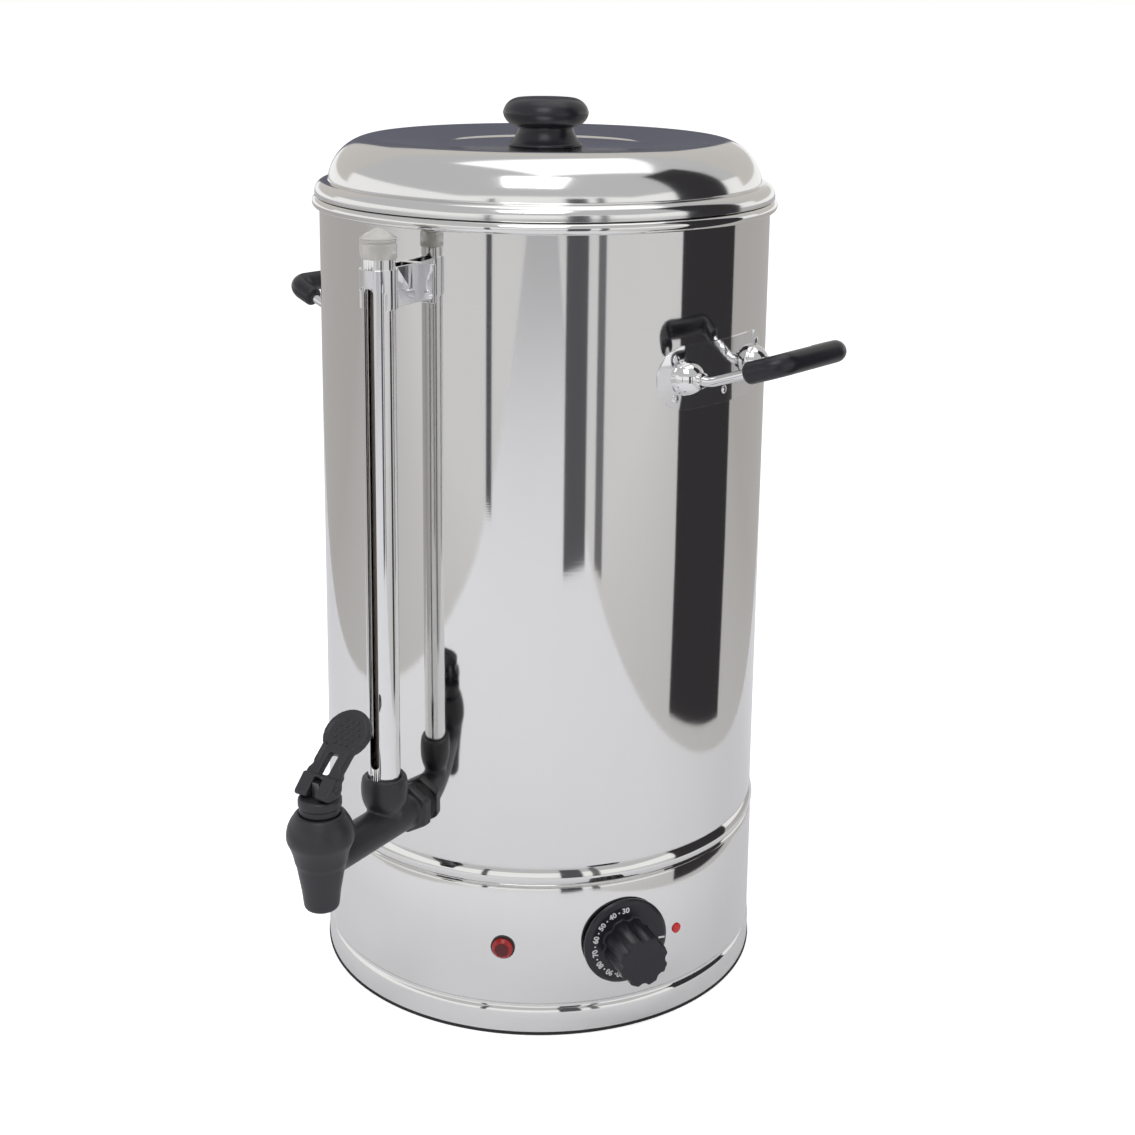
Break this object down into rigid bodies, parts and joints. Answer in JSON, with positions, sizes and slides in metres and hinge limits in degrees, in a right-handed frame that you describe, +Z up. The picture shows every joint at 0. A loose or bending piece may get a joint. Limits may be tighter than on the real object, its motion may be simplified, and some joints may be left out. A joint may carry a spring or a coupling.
{
  "type": "hot water urn",
  "caption": "Round steel hot water urn with a lift-off domed lid, side handles, an upright level gauge, a lever tap with a spring shut-off, and a base with a heat dial and a lamp.",
  "frame": {"origin": "centre of the foot ring's underside, on the floor", "axes": "+Z up; the tap and the gauge point along -Y; the dial is on the +X side of the front"},
  "size_m": [0.4156, 0.4063, 0.5565],
  "materials": {
    "polished_steel": "mirror-polished stainless sheet",
    "plain_steel": "satin",
    "chrome": "polished",
    "black_plastic": "smooth, glossy",
    "satin_black": "satin",
    "black_rubber": "matt",
    "silicone": "soft, matt",
    "phenolic": "moulded",
    "clear_plastic": "translucent",
    "glass": "clear",
    "red_lens": "translucent",
    "red_plastic": "smooth",
    "brass": "machined",
    "copper": "drawn copper"
  },
  "bodies": {
    "urn": {"tank_shell": "polished_steel", "tank_bottom": "plain_steel", "base_skirt": "polished_steel", "foot_ring": "black_rubber", "base_plate": "plain_steel", "base_brackets": "plain_steel", "base_screws": "plain_steel", "handle_plate_right": "plain_steel", "handle_plate_left": "plain_steel", "handle_ferrules_right": "chrome", "handle_ferrules_left": "chrome", "handle_rod_right": "chrome", "handle_rod_left": "chrome", "handle_grip_right": "black_plastic", "handle_grip_left": "black_plastic", "handle_rivets_right": "plain_steel", "handle_rivets_left": "plain_steel", "tap_body": "satin_black", "tap_seal": "black_rubber", "tap_inner_washer": "black_rubber", "tap_locknut": "plain_steel", "tap_bonnet": "satin_black", "tap_spring": "plain_steel", "gauge_glass": "glass", "gauge_guard": "chrome", "gauge_seal": "silicone", "gauge_cap": "clear_plastic", "gauge_clip": "plain_steel", "clip_screws": "plain_steel", "clip_nuts": "plain_steel", "thermostat_body": "phenolic", "thermostat_screws": "plain_steel", "pilot_lens": "red_lens", "pilot_body": "satin_black", "pilot_nut": "satin_black", "index_dot": "red_plastic", "sensor_bulb": "copper", "sensor_clip": "plain_steel", "capillary": "copper", "heating_element": "plain_steel", "element_gaskets": "silicone", "element_nuts": "brass", "boil_dry_cutout": "phenolic", "terminal_block": "phenolic", "earth_stud": "brass", "cable_gland": "satin_black", "gland_seal": "black_rubber", "gland_locknut": "satin_black"},
    "lid": {"lid_shell": "polished_steel", "lid_skirt": "plain_steel", "lid_knob": "black_plastic", "knob_washer": "plain_steel", "knob_screw": "plain_steel"},
    "stem": {"tap_stem": "chrome", "tap_seat_cup": "silicone"},
    "lever": {"tap_lever": "satin_black", "tap_lever_pin": "plain_steel"},
    "dial": {"thermostat_knob": "black_plastic", "thermostat_spindle": "plain_steel"},
    "reset": {"reset_plunger": "red_plastic"}
  },
  "joints": [
    {"name": "lid_lift", "type": "slide", "parent": "urn", "child": "lid", "axis": [0, 0, 1], "range_m": [0, 0.12]},
    {"name": "tap_stem_lift", "type": "slide", "parent": "urn", "child": "stem", "axis": [0, 0, 1], "range_m": [0, 0.0025], "deforming": ["tap_spring"]},
    {"name": "tap_lever_tilt", "type": "hinge", "parent": "stem", "child": "lever", "pos_m": [0, -0.229, 0.1875], "axis": [1, 0, 0], "range_deg": [0, 40], "stiffness_Nm_per_rad": 0.03, "springref_deg": -17.19},
    {"name": "dial_turn", "type": "hinge", "parent": "urn", "child": "dial", "pos_m": [0.12137, -0.08818, 0.0595], "axis": [0.809, -0.5878, 0], "range_deg": [0, 300]},
    {"name": "reset_press", "type": "slide", "parent": "urn", "child": "reset", "axis": [0, 0, 1], "range_m": [0, 0.003]}
  ],
  "couplings": [
    {"joint": "tap_stem_lift", "follows": "tap_lever_tilt", "m_per_rad": 0.00358}
  ]
}
